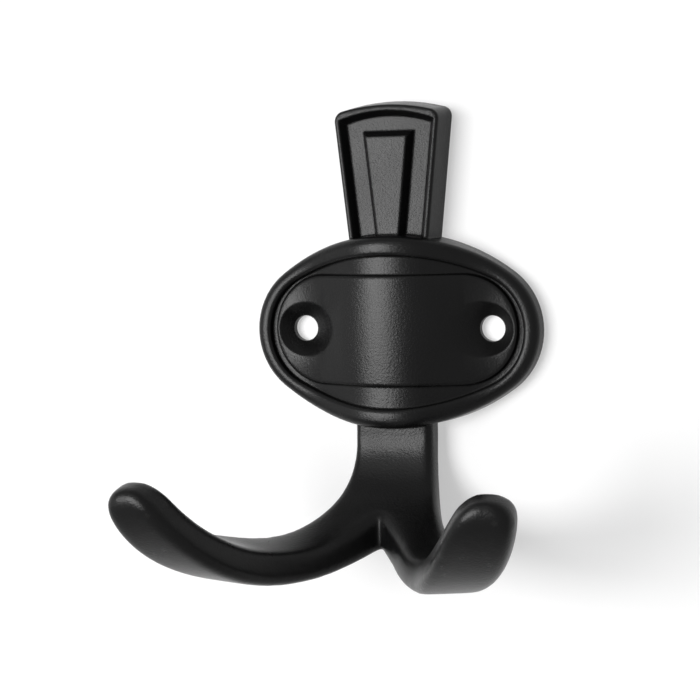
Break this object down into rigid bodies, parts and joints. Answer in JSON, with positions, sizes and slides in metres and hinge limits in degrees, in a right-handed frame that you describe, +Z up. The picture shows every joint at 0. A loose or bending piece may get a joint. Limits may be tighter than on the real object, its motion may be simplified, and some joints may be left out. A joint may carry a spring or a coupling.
{
  "type": "double robe hook",
  "caption": "Cast wall hook: a fan-shaped tail above an oval screw plate, and a stem that parts into arms ending in rounded upturned tips.",
  "frame": {"origin": "midway between the two screw holes, in the plane of the wall", "axes": "+Z up the wall towards the tail's top, +X to the right across the screw holes, -Y out of the wall towards the tips"},
  "size_m": [0.0622, 0.0476, 0.0747],
  "materials": {
    "satin_black": "satin powder coat, near black"
  },
  "bodies": {
    "root": {"robe_hook": "satin_black"}
  },
  "joints": []
}
